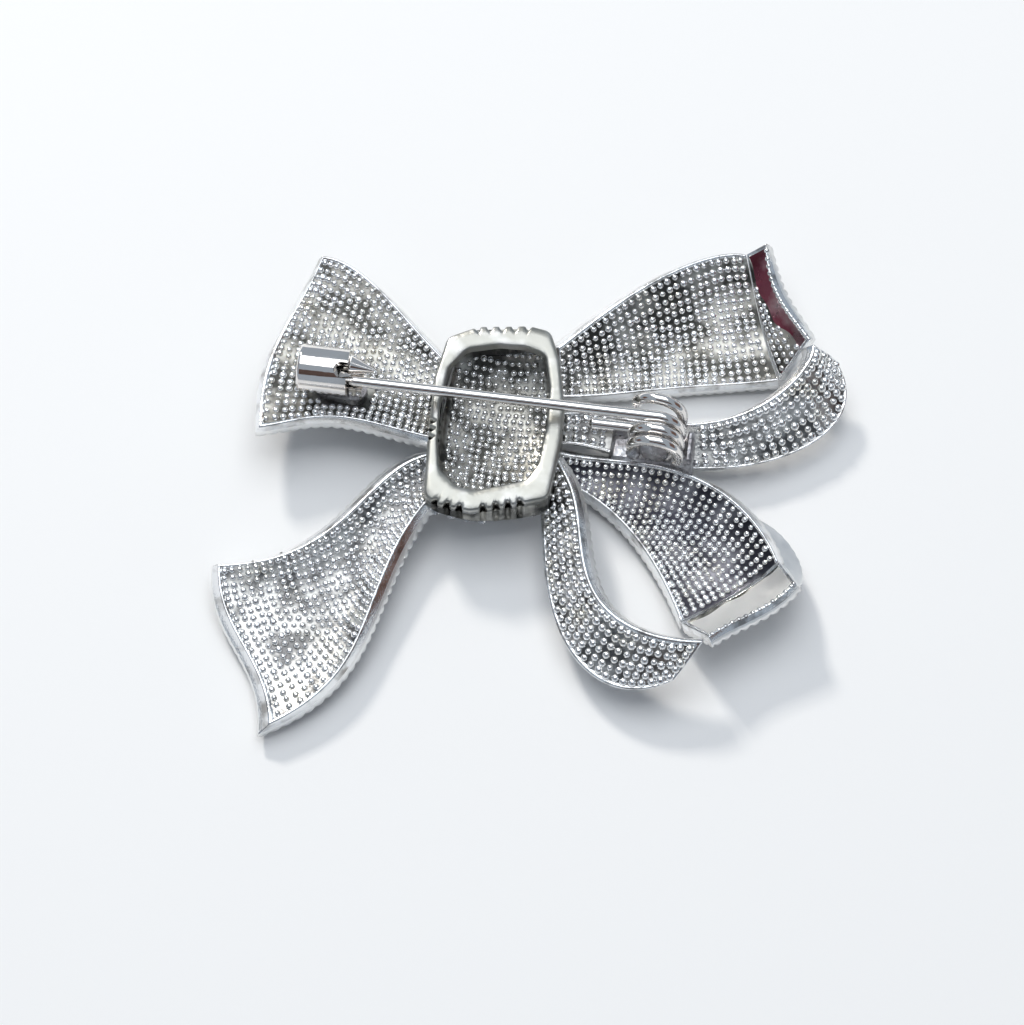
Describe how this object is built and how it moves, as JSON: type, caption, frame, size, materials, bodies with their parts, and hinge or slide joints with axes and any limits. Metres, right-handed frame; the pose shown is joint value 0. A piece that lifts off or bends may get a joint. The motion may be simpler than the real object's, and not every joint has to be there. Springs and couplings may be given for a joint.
{
  "type": "bow brooch",
  "caption": "Openwork ribbon bow brooch with a beaded cast back, pave stones on the front, a spring pin and a turning barrel catch.",
  "frame": {"origin": "centre of the brooch's footprint, on the table under its front face", "axes": "+X along the pin from catch to hinge, +Y towards the top of the bow, +Z out of its back; the brooch lies face down"},
  "size_m": [0.0528, 0.0504, 0.0105],
  "materials": {
    "cast_plate": "polished, beaded casting",
    "polished_edge": "bright polished",
    "pin_wire": "bright drawn wire",
    "solder_pad": "soft grey solder",
    "stone": "clear faceted stones"
  },
  "bodies": {
    "bow": {"upper_tail_plate": "cast_plate", "lower_tail_plate": "cast_plate", "upper_loop_leaf": "cast_plate", "upper_loop_fold": "polished_edge", "upper_loop_strand": "cast_plate", "lower_loop_leaf": "cast_plate", "lower_loop_fold": "polished_edge", "lower_loop_strand": "cast_plate", "knot_shell": "cast_plate", "knot_frame": "polished_edge", "upper_tail_stones": "stone", "lower_tail_stones": "stone", "upper_leaf_stones": "stone", "lower_leaf_stones": "stone", "upper_strand_stones": "stone", "lower_strand_stones": "stone", "knot_stones": "stone", "hinge_pad": "solder_pad", "pin_spring": "pin_wire", "pin_spring_end": "pin_wire", "catch_base": "solder_pad", "catch_core": "pin_wire"},
    "needle": {"pin_needle": "pin_wire"},
    "sleeve": {"catch_sleeve": "pin_wire"}
  },
  "joints": [
    {"name": "needle_swing", "type": "hinge", "parent": "bow", "child": "needle", "pos_m": [0.01009, 0.00542, 0.00628], "axis": [0, 1, 0], "range_deg": [0, 65]},
    {"name": "catch_turn", "type": "hinge", "parent": "bow", "child": "sleeve", "pos_m": [-0.01946, 0.00617, 0.00835], "axis": [1, 0, 0], "range_deg": [0, 130]}
  ]
}
